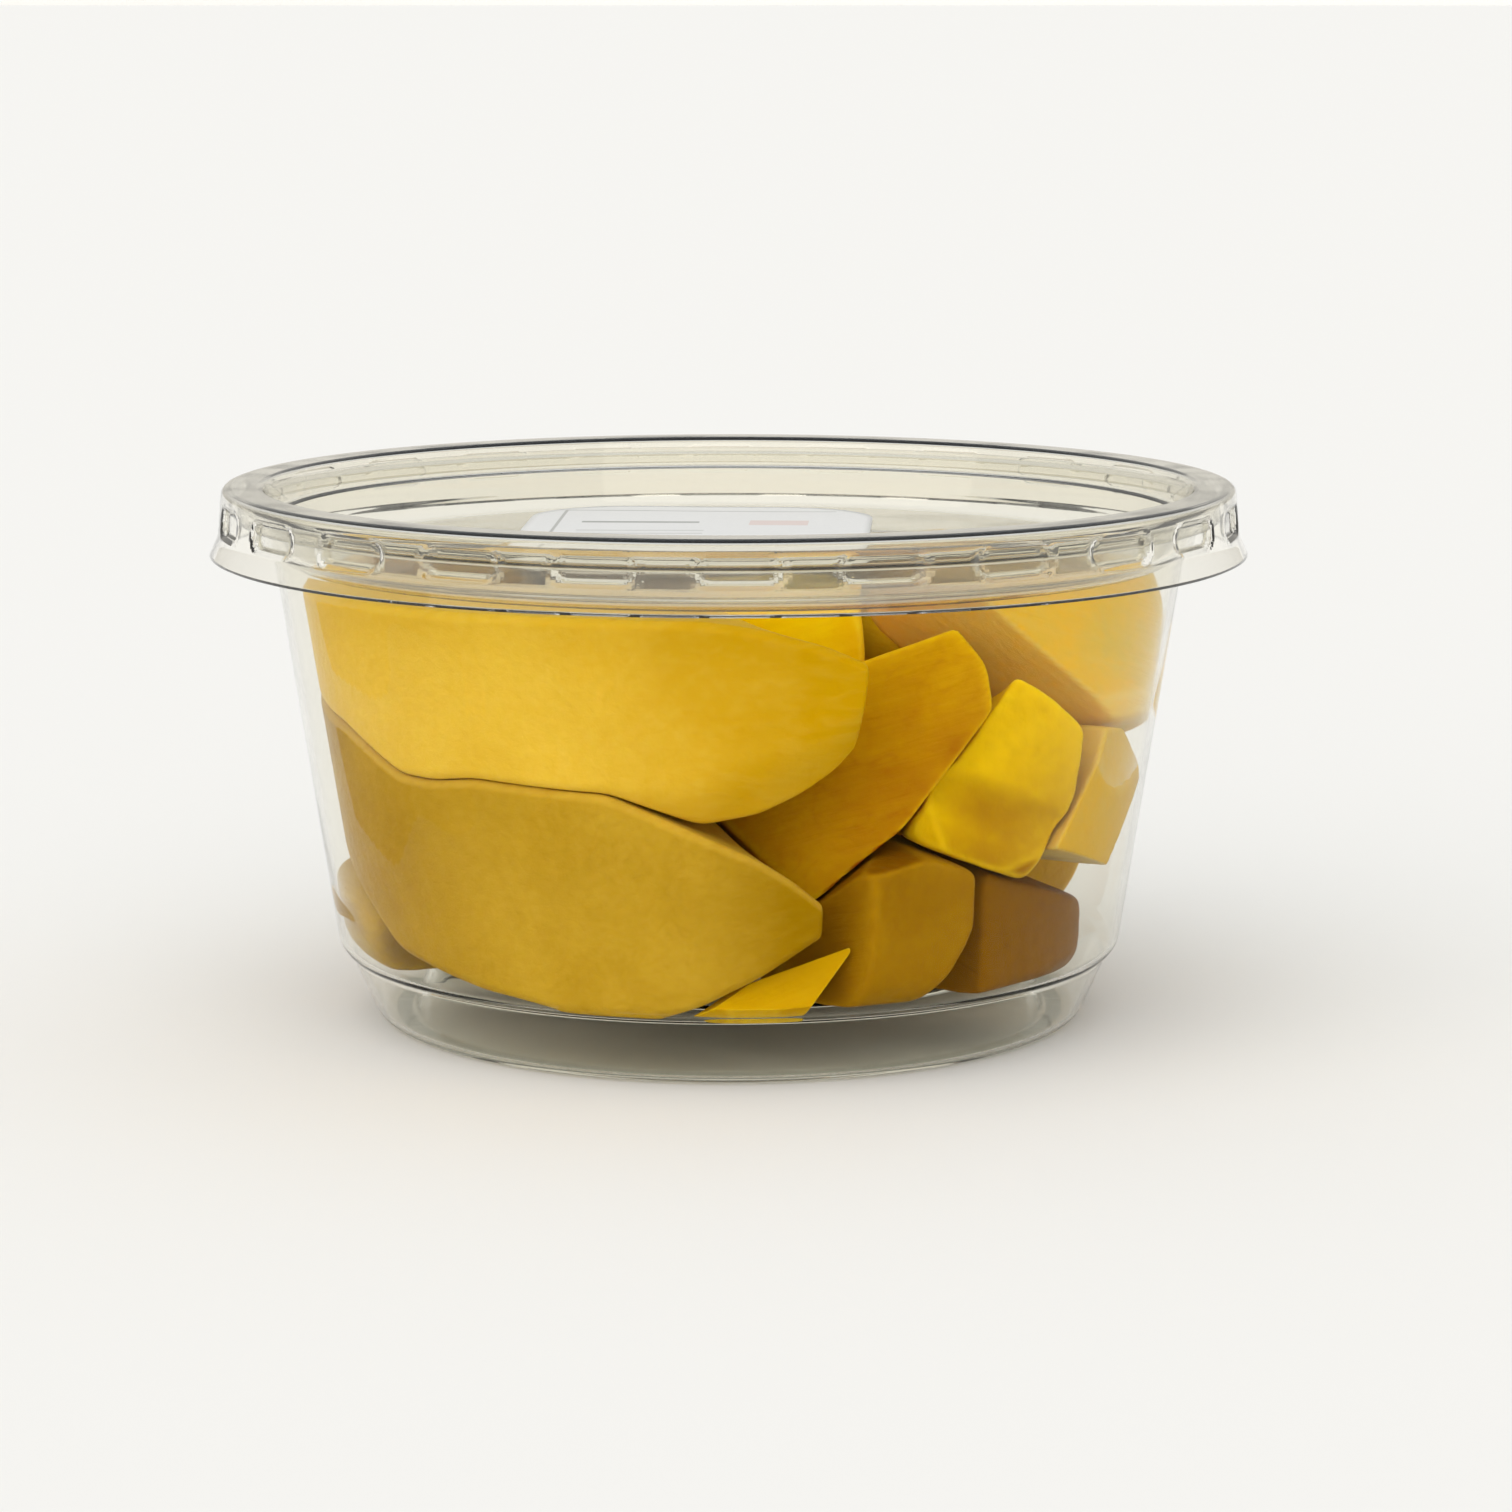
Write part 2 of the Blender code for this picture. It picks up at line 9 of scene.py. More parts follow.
import bpy
import numpy as np
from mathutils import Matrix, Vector


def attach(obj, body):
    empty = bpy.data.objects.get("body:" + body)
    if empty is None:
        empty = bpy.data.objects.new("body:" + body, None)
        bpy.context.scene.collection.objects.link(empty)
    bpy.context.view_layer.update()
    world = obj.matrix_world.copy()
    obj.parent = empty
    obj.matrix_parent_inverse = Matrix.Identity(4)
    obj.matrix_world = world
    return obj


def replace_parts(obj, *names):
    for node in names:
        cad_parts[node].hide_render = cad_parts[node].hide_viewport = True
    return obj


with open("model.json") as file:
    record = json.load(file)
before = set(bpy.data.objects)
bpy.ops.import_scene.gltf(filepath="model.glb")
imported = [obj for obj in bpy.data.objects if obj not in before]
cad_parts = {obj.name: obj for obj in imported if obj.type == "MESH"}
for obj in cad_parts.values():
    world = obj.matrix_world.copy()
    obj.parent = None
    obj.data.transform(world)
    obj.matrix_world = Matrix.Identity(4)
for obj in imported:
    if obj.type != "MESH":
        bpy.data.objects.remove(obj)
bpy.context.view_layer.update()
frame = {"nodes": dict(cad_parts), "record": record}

# Tub
# A round deli tub of clear PET, thermoformed from one sheet: a rolled rim, a sloped wall, a
# shoulder and a foot ring round a raised floor. The fruit is packed into it by hand.
MM = 0.001
TUB_WALL = 0.7
TUB_STEPS = 288
BEND_CHORDS = 5
EDGE_CHORDS = 7
STEEPEST_MITRE = 0.6
# Corners of the outer side, from the middle of the floor up to the rim, in millimetres:
# (radius, height, how far from the corner its rounding starts)
TUB_PROFILE = [
    (0, 6.4, 0),
    (33.2, 6.4, 1.2),
    (35.6, 0.0, 0.8),
    (40.15, 0.0, 1.8),
    (43.3, 7.4, 0.4),
    (44.49, 8.3, 1.0),
    (51.33, 53.0, 0.7),
    (52.43, 54.1, 0.7),
    (53.2, 58.0, 0.6),
    (54.5, 58.3, 0.35),
    (54.7, 57.1, 0),
]


def linear(code, alpha=1.0):
    """Linear colour of an sRGB hex code: each channel through the sRGB curve."""
    parts = np.array([int(code[i:i + 2], 16) for i in (1, 3, 5)]) / 255
    low, high = parts / 12.92, ((parts + 0.055) / 1.055) ** 2.4
    return (*np.where(parts <= 0.04045, low, high), alpha)


def add(tree, kind, inputs=(), **settings):
    """Add a node with its settings, and give each named input a value or a link."""
    made = tree.nodes.new(kind)
    for name, value in settings.items():
        setattr(made, name, value)
    for name, value in dict(inputs).items():
        if isinstance(value, bpy.types.NodeSocket):
            tree.links.new(value, made.inputs[name])
        else:
            made.inputs[name].default_value = value
    return made


def new_material(name):
    """Empty node material, its tree and its output node."""
    made = bpy.data.materials.new(name)
    made.use_nodes = True
    made.node_tree.nodes.clear()
    return made, made.node_tree, made.node_tree.nodes.new("ShaderNodeOutputMaterial")


def rounded(corners, chords):
    """Smooth outline through (radius, height, rounding) corners.

    Each rounding is a quadratic curve from a point that far before the corner to a point that
    far after it, with the corner as its control point: start (1-t)^2 + corner 2t(1-t) + end t^2.
    """
    points = []
    for i, (radius, height, rounding) in enumerate(corners):
        corner = np.array([radius, height], float)
        if rounding == 0:
            points.append(corner[None])
            continue
        before = np.array(corners[i - 1][:2]) - corner
        after = np.array(corners[i + 1][:2]) - corner
        start = corner + before / np.linalg.norm(before) * rounding
        end = corner + after / np.linalg.norm(after) * rounding
        t = np.linspace(0, 1, chords + 1)[:, None]
        points.append(start * (1 - t) ** 2 + corner * 2 * t * (1 - t) + end * t ** 2)
    return np.concatenate(points)


def walled(outline, wall):
    """Closed profile of a wall: the outline, a round edge, and the outline moved to its left.

    The move is along the mean normal of the two chords at a point, stretched by one over the
    cosine of half the turn, so that the wall keeps its thickness round a bend.
    """
    chord = np.diff(outline, axis=0)
    chord /= np.linalg.norm(chord, axis=1, keepdims=True)
    normal = np.stack([-chord[:, 1], chord[:, 0]], 1)
    mean = np.concatenate([normal[:1], normal[:-1] + normal[1:], normal[-1:]])
    mean /= np.linalg.norm(mean, axis=1, keepdims=True)
    cosine = np.sum(mean * np.concatenate([normal, normal[-1:]]), 1, keepdims=True)
    inner = outline + mean * wall / np.maximum(cosine, STEEPEST_MITRE)
    inner[0] = (0, outline[0, 1] + wall * normal[0, 1])
    middle, half = (outline[-1] + inner[-1]) / 2, (outline[-1] - inner[-1]) / 2
    bend = np.linspace(0, pi, EDGE_CHORDS + 1)[1:-1, None]
    edge = middle + half * np.cos(bend) + chord[-1] * wall / 2 * np.sin(bend)
    return np.concatenate([outline, edge, inner[::-1]])


def piece(name, points, faces, finish):
    """Smooth mesh object with its place in its mesh, riding with the pack.

    Faces are arrays of corner numbers, one array for each number of sides.
    """
    mesh = bpy.data.meshes.new(name)
    points = points.reshape(-1, 3)
    sides = np.concatenate([np.full(len(part), part.shape[1]) for part in faces])
    mesh.vertices.add(len(points))
    mesh.vertices.foreach_set("co", points.ravel().astype(np.float32))
    mesh.loops.add(sides.sum())
    corners = np.concatenate([part.ravel() for part in faces])
    mesh.loops.foreach_set("vertex_index", corners.astype(np.int32))
    mesh.polygons.add(len(sides))
    mesh.polygons.foreach_set("loop_start", (np.cumsum(sides) - sides).astype(np.int32))
    mesh.update(calc_edges=True)
    mesh.shade_smooth()
    mesh.materials.append(finish)
    made = bpy.data.objects.new(name, mesh)
    bpy.context.scene.collection.objects.link(made)
    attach(made, "root")
    return made


def quads(rows, columns):
    """Corner numbers of the quads of a grid, row by row, each row closed into a ring."""
    r = np.arange(rows - 1)[:, None]
    c = np.arange(columns)[None]
    after_r, after_c = r + 1, (c + 1) % columns
    corners = [
        r * columns + c,
        r * columns + after_c,
        after_r * columns + after_c,
        after_r * columns + c,
    ]
    return np.stack(np.broadcast_arrays(*corners), -1).reshape(-1, 4)


def capped(rings):
    """Vertices and faces of a tube of rings whose first and last ring are each one point."""
    inner = rings[1:-1]
    rows, columns = inner.shape[:2]
    points = np.concatenate([rings[0, :1], inner.reshape(-1, 3), rings[-1, :1]])
    c = np.arange(columns)
    after = (c + 1) % columns
    first = np.stack([np.zeros_like(c), 1 + after, 1 + c], 1)
    last_row = 1 + (rows - 1) * columns
    last = np.stack([np.full_like(c, len(points) - 1), last_row + c, last_row + after], 1)
    return points, [first, quads(rows, columns) + 1, last]


def turned(profile, steps):
    """Rings of a (radius, height) profile turned about Z: (r sin a, -r cos a, z)."""
    a = np.linspace(0, 2 * pi, steps, endpoint=False)[None]
    radius, height = profile[:, :1], profile[:, 1:]
    return np.stack([radius * np.sin(a), -radius * np.cos(a), height + 0 * a], -1)


# Clear PET, drawn over a mould while hot: glassy and nearly colourless, a trace of haze from
# the cooling, and broad shallow ripples that wobble what is seen through it
CLEAR_HAZE = 0.03
LAMP_TINT = "#f8faf7"


def clear_pet(name, tint, glare, bend, ripple, depth):
    """PET sheet: glassy, with forming ripples of a size and depth in millimetres.

    Glare is the share of its head-on reflection that shows, and bend is its index of
    refraction. Lamps pass through it unbent, so that the food behind it is lit.
    """
    made, tree, out = new_material(name)
    place = add(tree, "ShaderNodeTexCoord").outputs["Object"]
    wave = add(tree, "ShaderNodeTexNoise", {
        "Vector": place, "Scale": 1 / (ripple * MM), "Detail": 1.0})
    bump = add(tree, "ShaderNodeBump", {"Height": wave.outputs["Fac"], "Distance": depth * MM})
    sheet = add(tree, "ShaderNodeBsdfPrincipled", {
        "Base Color": linear(tint), "Roughness": CLEAR_HAZE, "IOR": bend,
        "Specular Tint": (glare, glare, glare, 1.0), "Transmission Weight": 1.0,
        "Normal": bump.outputs["Normal"]})
    lamps = add(tree, "ShaderNodeLightPath").outputs["Is Shadow Ray"]
    through = add(tree, "ShaderNodeBsdfTransparent", {"Color": linear(LAMP_TINT)})
    both = add(tree, "ShaderNodeMixShader", {
        0: lamps, 1: sheet.outputs[0], 2: through.outputs[0]})
    tree.links.new(both.outputs[0], out.inputs["Surface"])
    return made


# PET bends light by 1.575. The tub's is matched lower: its wall leans out over the floor, and
# at the full value it would mirror the floor as a pale veil over the fruit on its sides
tub_clear = clear_pet("clear_pet_tub", "#f9f8f3", glare=0.1, bend=1.18, ripple=14, depth=0.05)
tub_profile = walled(rounded(TUB_PROFILE, BEND_CHORDS), TUB_WALL)
tub = piece("tub_wall", *capped(turned(tub_profile, TUB_STEPS) * MM), tub_clear)
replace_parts(tub, "tub")

# Cheeks
# Two long cheeks cut off beside the stone of a peeled mango, lying one on the other against
# the wall. Ripe flesh is wet and half clear, and it clings to the wall where it lies on it.
WALL_SLOPE = 0.153
WALL_BASE = 45.39 - WALL_SLOPE * 14.17
WALL_RADIUS = 46.0
MIDDLE_HEIGHT = 30.0
CLING = 0.05
CHEEK_STATIONS = 300
CHEEK_EDGE = 0.7
CHEEK_BACK_EDGE = 1.5
CHEEK_BACK_TAPER = 0.16
CHEEK_BEVEL_LEAN = 0.7
# The ends of a cheek turn through this many degrees in a quarter circle, and close over this
# many millimetres
CHEEK_END_TURN = 2.0
CHEEK_END = 1.0
CHEEK_END_ROWS = 9
# Points of a ring this deep behind the wall (mm) or deeper take no part in hollows, and those
# nearer by the second number take their full part
FRONT_DEPTH = 3.0
FRONT_FADE = 2.5
CHEEK_GAP = 0.05
LEFT_DENT = 2.6
HOLLOW_DEPTH = 0.35
# Points along the front of a ring, along its other sides, and round a corner
FACE_POINTS = 46
SIDE_POINTS = 9
CORNER_POINTS = 5
# How far from its corner each of a ring's eight roundings starts, and the share of a side
# that a rounding may take
CORNER_SIZES = [0.7, 2.4, 0.8, 0.8, 1.0, 1.2, 1.2, 1.0]
MOST_OF_SIDE = 0.45


def inside_wall(height):
    """Radius of the tub's wall on its inner side, with the cling of wet flesh, at a height."""
    return WALL_BASE + WALL_SLOPE * height - TUB_WALL + CLING


def eased(turn, stations, soften=3.0):
    """Value along a turn: straight lines between stations, averaged over a few degrees.

    The average weighs the lines at offsets u by 1 + cos(pi u), for u from -1 to 1.
    """
    offsets = np.linspace(-0.9, 0.9, 13)
    weights = 1 + np.cos(pi * offsets)
    at, value = np.array(stations).T
    lines = [np.interp(turn + soften * u, at, value) * w for u, w in zip(offsets, weights)]
    return np.sum(lines, 0) / weights.sum()


def cheek_rings(middle_turn, back, back_share, top, bottom, strip, dent):
    """Rings of a cheek: eight corners at each turn round the tub, with round corners.

    The front runs on the wall from the lower edge, up a knife bevel, to the upper edge. The
    back is flat, at a distance from the tub's axis. A ring's side is a row of points between
    the roundings, and a rounding is start (1-t)^2 + corner 2t(1-t) + end t^2. Both ends close
    in a quarter circle. dent(turn, height) is how far the front lies back from the wall.
    """
    first, last = bottom[0][0], bottom[-1][0]
    ends = CHEEK_END_TURN * (1 - np.cos(np.linspace(0, pi / 2, CHEEK_END_ROWS)))[:-1]
    between = np.linspace(first + CHEEK_END_TURN, last - CHEEK_END_TURN, CHEEK_STATIONS)
    turn = np.concatenate([first + ends, between, (last - ends)[::-1]])
    high, low = eased(turn, top), eased(turn, bottom)
    cut = np.minimum(eased(turn, strip), MOST_OF_SIDE * (high - low))
    a, middle = np.radians(turn), radians(middle_turn)
    front = np.stack([np.sin(a), -np.cos(a), 0 * a], 1)
    facing = np.array([sin(middle), -cos(middle), 0])
    along = np.array([cos(middle), sin(middle), 0])
    side = along * ((front @ along) * inside_wall(low) * back_share)[:, None] + facing * back
    taper = (high - low) * CHEEK_BACK_TAPER
    edge = CHEEK_EDGE

    def at(direction, radius, height):
        up = np.array([0, 0, 1]) * np.reshape(height, (-1, 1))
        return direction * np.reshape(radius, (-1, 1)) + up

    corners = np.stack([
        at(front, inside_wall(low) - edge / 2 - cut * CHEEK_BEVEL_LEAN, low),
        at(front, inside_wall(low), low + edge / 2 + cut),
        at(front, inside_wall(high - edge), high - edge),
        at(front, inside_wall(high) - edge, high),
        at(facing, CHEEK_BACK_EDGE, high - taper / 3) + side,
        at(facing, 0, high - taper) + side,
        at(facing, 0, low + taper) + side,
        at(facing, CHEEK_BACK_EDGE, low + taper / 3) + side,
    ], 1)
    after, before = np.roll(corners, -1, 1) - corners, np.roll(corners, 1, 1) - corners
    length = np.linalg.norm(after, axis=2, keepdims=True)
    size = np.array(CORNER_SIZES).reshape(1, 8, 1)
    size = np.minimum(size, MOST_OF_SIDE * np.minimum(length, np.roll(length, 1, 1)))
    start = corners + before / np.linalg.norm(before, axis=2, keepdims=True) * size
    end = corners + after / length * size
    row = []
    for k in range(8):
        t = np.linspace(0, 1, CORNER_POINTS).reshape(1, -1, 1)
        s, c, e = start[:, k, None], corners[:, k, None], end[:, k, None]
        row.append(s * (1 - t) ** 2 + c * 2 * t * (1 - t) + e * t ** 2)
        t = np.linspace(0, 1, FACE_POINTS if k == 1 else SIDE_POINTS)[1:-1].reshape(1, -1, 1)
        row.append(e * (1 - t) + start[:, (k + 1) % 8, None] * t)
    rings = np.concatenate(row, 1)
    radius = np.hypot(rings[..., 0], rings[..., 1])
    on_front = np.clip((radius - inside_wall(rings[..., 2]) + FRONT_DEPTH) / FRONT_FADE, 0, 1)
    rings[..., :2] *= (1 - on_front * dent(turn[:, None], rings[..., 2]) / radius)[..., None]
    reach = np.minimum(turn - first, last - turn) * pi / 180 * inside_wall(MIDDLE_HEIGHT)
    shrink = np.sqrt(np.clip(1 - (1 - np.minimum(reach / CHEEK_END, 1)) ** 2, 0, 1))
    centre = rings.mean(1, keepdims=True)
    return centre + (rings - centre) * shrink[:, None, None], turn


def broad_waves(turn, height, seed, size, depth):
    """Soft hollows on a face: depth (0.5 + 0.22 s), with the bracket kept within 0 and 1.

    s is the sum of five sine waves about size millimetres long, at random turns.
    """
    draw = np.random.default_rng(seed)
    x = np.radians(turn) * WALL_RADIUS
    total = 0
    for wave in 2 * pi / (size * draw.uniform(0.7, 1.5, 5)):
        lean, phase = draw.uniform(0, 2 * pi, 2)
        total = total + np.sin(wave * (x * cos(lean) + height * sin(lean)) + phase)
    return depth * (0.5 + 0.22 * total).clip(0, 1)


# Ripe mango flesh, knife cut: a waxy wet face, softly lit from within, fine fibres along the
# fruit and small torn pits where the blade dragged. Its own fibres are about 0.2 mm wide and
# its pits 0.5 mm, too fine to show, so both are drawn coarser. All sizes are in millimetres,
# and a pattern along the grain is drawn out to one over its share.
FIBRE_ALONG_SHARE = 0.09
FIBRE_RELIEF = 0.12
PIT_SIZE = 1.2
PIT_RELIEF = 0.08
STRAND_SIZE = 4.0
STRAND_ALONG_SHARE = 0.35
GLOW_DEPTH = 2.0


def flesh(name, light, mid, deep, grain, fibre=1.0, blotch=14.0):
    """Ripe mango flesh: wet, half clear and finely fibrous along a direction.

    Broad blotches and the piece's ripe attribute blend a middle and a deep tone. The
    attribute holds riper flesh and painted shade: the deep tone stands in for shade where a
    piece lies in shadow. Fibres lay a lighter tone over them, and the edge attribute lays it
    along the edges as a painted highlight; pits and thin dark strands lay the deep one. Fibre
    is the width of a fibre, and blotch the size of a patch.
    """
    made, tree, out = new_material(name)
    place = add(tree, "ShaderNodeTexCoord").outputs["Object"]
    turn = Vector((1, 0, 0)).rotation_difference(Vector(grain)).to_euler()
    lain = add(tree, "ShaderNodeMapping", {"Vector": place, "Rotation": turn},
               vector_type="TEXTURE")
    narrow = 1 / (fibre * MM)
    stretched = add(tree, "ShaderNodeMapping", {
        "Vector": lain.outputs[0], "Scale": (FIBRE_ALONG_SHARE * narrow, narrow, narrow)})
    narrow = 1 / (STRAND_SIZE * MM)
    strung = add(tree, "ShaderNodeMapping", {
        "Vector": lain.outputs[0], "Scale": (STRAND_ALONG_SHARE * narrow, narrow, narrow)})
    patch = add(tree, "ShaderNodeTexNoise", {
        "Vector": lain.outputs[0], "Scale": 1 / (blotch * MM), "Detail": 3.0, "Distortion": 0.6})
    thread = add(tree, "ShaderNodeTexNoise", {
        "Vector": stretched.outputs[0], "Scale": 1.0, "Detail": 3.0, "Distortion": 0.35})
    speck = add(tree, "ShaderNodeTexNoise", {
        "Vector": place, "Scale": 1 / (PIT_SIZE * MM), "Detail": 3.0})
    patched = add(tree, "ShaderNodeMapRange", {
        "Value": patch.outputs["Fac"], "From Min": 0.36, "From Max": 0.66})
    threaded = add(tree, "ShaderNodeMapRange", {
        "Value": thread.outputs["Fac"], "From Min": 0.45, "From Max": 0.8, "To Max": 0.14})
    # Painted highlight: the edge attribute lays a lighter tone along the edges, where they catch
    # the light
    edge = add(tree, "ShaderNodeAttribute", attribute_name="edge").outputs["Fac"]
    edge_highlight = add(tree, "ShaderNodeMapRange", {
        "Value": edge, "From Min": 0.15, "From Max": 0.6, "To Max": 0.5})
    # Ripeness and painted shade: the piece's attribute deepens the tone for riper flesh and for
    # shade
    ripe = add(tree, "ShaderNodeAttribute", attribute_name="ripe").outputs["Fac"]
    ripeness = add(tree, "ShaderNodeMath", {0: patched.outputs[0], 1: 0.35, 2: ripe},
                   operation="MULTIPLY_ADD", use_clamp=True)
    tone = add(tree, "ShaderNodeMix", {
        0: ripeness.outputs[0], 6: linear(mid), 7: linear(deep)}, data_type="RGBA")
    for share in (threaded, edge_highlight):
        tone = add(tree, "ShaderNodeMix", {
            0: share.outputs[0], 6: tone.outputs[2], 7: linear(light)}, data_type="RGBA")
    grained = add(tree, "ShaderNodeMapRange", {
        "Value": speck.outputs["Fac"], "From Min": 0.4, "From Max": 0.7, "To Max": 0.16})
    strand = add(tree, "ShaderNodeTexNoise", {
        "Vector": strung.outputs[0], "Scale": 1.0, "Detail": 2.0, "Distortion": 1.2})
    beside = add(tree, "ShaderNodeMath", {0: strand.outputs["Fac"], 1: 0.5}, operation="SUBTRACT")
    beside = add(tree, "ShaderNodeMath", {0: beside.outputs[0]}, operation="ABSOLUTE")
    lined = add(tree, "ShaderNodeMapRange", {
        "Value": beside.outputs[0], "From Min": 0.014, "From Max": 0.0, "To Max": 0.22})
    for share in (grained, lined):
        tone = add(tree, "ShaderNodeMix", {
            0: share.outputs[0], 6: tone.outputs[2], 7: linear(deep)}, data_type="RGBA")
    wet = add(tree, "ShaderNodeMapRange", {
        "Value": speck.outputs["Fac"], "To Min": 0.3, "To Max": 0.5})
    fine = add(tree, "ShaderNodeBump", {
        "Height": thread.outputs["Fac"], "Distance": FIBRE_RELIEF * MM})
    pitted = add(tree, "ShaderNodeBump", {
        "Height": speck.outputs["Fac"], "Distance": PIT_RELIEF * MM,
        "Normal": fine.outputs["Normal"]})
    fruit = add(tree, "ShaderNodeBsdfPrincipled", {
        "Base Color": tone.outputs[2], "Roughness": wet.outputs[0], "IOR": 1.38,
        "Subsurface Weight": 0.3, "Subsurface Radius": (1.0, 0.6, 0.1),
        "Subsurface Scale": GLOW_DEPTH * MM,
        "Specular IOR Level": 0.08, "Specular Tint": linear("#ffe080"),
        "Normal": pitted.outputs["Normal"]})
    tree.links.new(fruit.outputs[0], out.inputs["Surface"])
    return made


def mark(made, **shares):
    """Keep shares from 0 to 1, one for each vertex, as attributes for the material."""
    for name, share in shares.items():
        values = made.data.attributes.new(name, "FLOAT", "POINT")
        values.data.foreach_set("value", np.ravel(share).astype(np.float32))
    return made


# Heights of the cheeks' edges (turn in degrees, height in millimetres) and of the strip that
# the knife bevelled off: the line where the cheeks meet, the upper one's top, the lower one's
# top and its belly
JOINT = [(-92, 40.4), (-79, 39.2), (-69, 38.0), (-60, 36.7), (-54, 34.5), (-48, 32.3), (-42, 32.2),
         (-35, 33.0), (-16, 32.4), (-4, 28.9), (4, 29.8), (10, 31.9), (15, 34.7), (18, 38.0)]
CREST = [(-92, 47.0), (-84, 50.5), (-20, 51.2), (-3, 51.2), (4, 50.3), (12, 48.3), (18, 46.0)]
UPPER_STRIP = [(-92, 0.3), (-18, 0.3), (-12, 1.0), (2, 4.6), (10, 5.2), (18, 4.0)]
UNDER = [(-86, 36.5)] + [(turn, height - CHEEK_GAP) for turn, height in JOINT[1:9]] + [
    (-6, 29.0), (4, 25.4), (9, 22.8), (13.4, 19.8)]
BELLY = [(-86, 30.0), (-80, 26.0), (-70, 20.8), (-63, 17.6), (-54, 11.9), (-46, 10.6),
         (-37, 9.3), (-24, 8.0), (-9, 7.9), (-4, 9.2), (4, 12.3), (13.4, 17.2)]
LOWER_STRIP = [(-86, 0.4), (13.4, 0.4)]


def stepped(value, low, high):
    """Smooth step: 0 below low, 1 above high, and 3s^2 - 2s^3 between, s being the share."""
    share = np.clip((value - low) / (high - low), 0, 1)
    return share * share * (3 - 2 * share)


def dented(turn, hollows):
    """Hollows to the right of where a cheek clings to the wall, and its bend off at the left."""
    return hollows * stepped(turn, -52, -30) + LEFT_DENT * stepped(-turn, 60, 86)


def upper_dent(turn, height):
    """How far the upper cheek lies off the wall: broad soft hollows 16 mm wide."""
    return dented(turn, broad_waves(turn, height, 3, 16, HOLLOW_DEPTH))


def lower_dent(turn, height):
    """How far the lower cheek lies off the wall: broad soft hollows 14 mm wide."""
    return dented(turn, broad_waves(turn, height, 8, 14, HOLLOW_DEPTH))


def closed(values):
    """One value for each vertex of a capped tube, from values on its rings."""
    return np.concatenate([values[0, :1], values[1:-1].ravel(), values[-1, :1]])


rings, turn = cheek_rings(-34, 24.0, 0.62, CREST, JOINT, UPPER_STRIP, upper_dent)
# Ripeness and painted shade: a deeper tone towards the right end, whose tip lies in shadow, and
# along the crest
ripe = (stepped(turn, -22, 2) * 0.6 + stepped(turn, 6, 16) * 0.4)[:, None]
ripe = ripe + stepped(rings[..., 2], 44, 50) * 0.15
upper_grain = (0.83, 0.55, 0.05)
upper_flesh = flesh("mango_flesh_pale", "#f0d264", "#e0b93f", "#cc9d00", upper_grain, 1.2, 16)
upper = piece("upper_mango_cheek", *capped(rings * MM), upper_flesh)
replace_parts(mark(upper, ripe=closed(ripe)), "upper_cheek")

rings, turn = cheek_rings(-32, 23.0, 0.6, UNDER, BELLY, LOWER_STRIP, lower_dent)
# Ripeness and painted shade: a deeper tone towards both ends, the right tip lying in shadow
ripe = (stepped(-turn, 28, 48) * 0.45 + stepped(turn, -6, 11) * 0.9)[:, None]
ripe = ripe + 0 * rings[..., 2]
# Painted highlight: a lighter tone along the top edge, where it catches the light
edge = stepped(rings[..., 2] - eased(turn, UNDER)[:, None], -1.4, -0.3) * 0.5
lower_grain = (0.8, 0.5, 0.25)
lower_flesh = flesh("mango_flesh_golden", "#d6b248", "#be992a", "#9a7400", lower_grain, 1.0, 12)
lower = piece("lower_mango_cheek", *capped(rings * MM), lower_flesh)
mark(lower, edge=closed(edge), ripe=closed(ripe))
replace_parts(lower, "lower_cheek")

# Blocks
# Slabs, blocks and scraps cut from the same fruit, thrown in behind and beside the cheeks.
# Each is a few flat knife cuts that meet in edges dulled by handling, pressed on the wall.
WALL_GAP = 0.3
SHARPNESS = 60
SOFT_SHARPNESS = 24
SOFT_BLOCKS = ("upright_block", "corner_block", "left_wedge")
BLOCK_ROWS = 120
BLOCK_COLUMNS = 190
# A CAD triangle smaller than this (mm2) tells no direction, two with normals this close in
# cosine and this near (mm) are one cut, and a cut may lie this far (mm) inside its corners
LEAST_AREA = 0.05
SAME_WAY = 0.9995
SAME_PLACE = 0.1
SLACK = 0.03
# A cut whose normal is this near the wall's in rise, and which lies this near it (mm), is the
# side that the wall pressed flat
WALL_LEAN_SLACK = 0.03
WALL_PLACE_SLACK = 0.5


def cuts_of(node):
    """Planes (normal, distance in mm) that a convex CAD node lies within, one for each cut."""
    mesh = frame["nodes"][node].data
    co = np.empty(len(mesh.vertices) * 3)
    mesh.vertices.foreach_get("co", co)
    co = co.reshape(-1, 3) / MM
    mesh.calc_loop_triangles()
    corner = np.empty(len(mesh.loop_triangles) * 3, int)
    mesh.loop_triangles.foreach_get("vertices", corner)
    a, b, c = co[corner.reshape(-1, 3)].transpose(1, 0, 2)
    normal = np.cross(b - a, c - a)
    area = np.linalg.norm(normal, axis=1) / 2
    told = area > LEAST_AREA
    normal, a, area = normal[told], a[told], area[told]
    normal /= 2 * area[:, None]
    distance = np.sum(normal * a, 1)
    outer = (co @ normal.T - distance).max(0) < SLACK
    normal, distance, area = normal[outer], distance[outer], area[outer]
    kept = []
    for i in np.argsort(-area):
        if all(normal[i] @ normal[k] < SAME_WAY or abs(distance[i] - distance[k]) > SAME_PLACE
               for k in kept):
            kept.append(i)
    return normal[kept], distance[kept], co


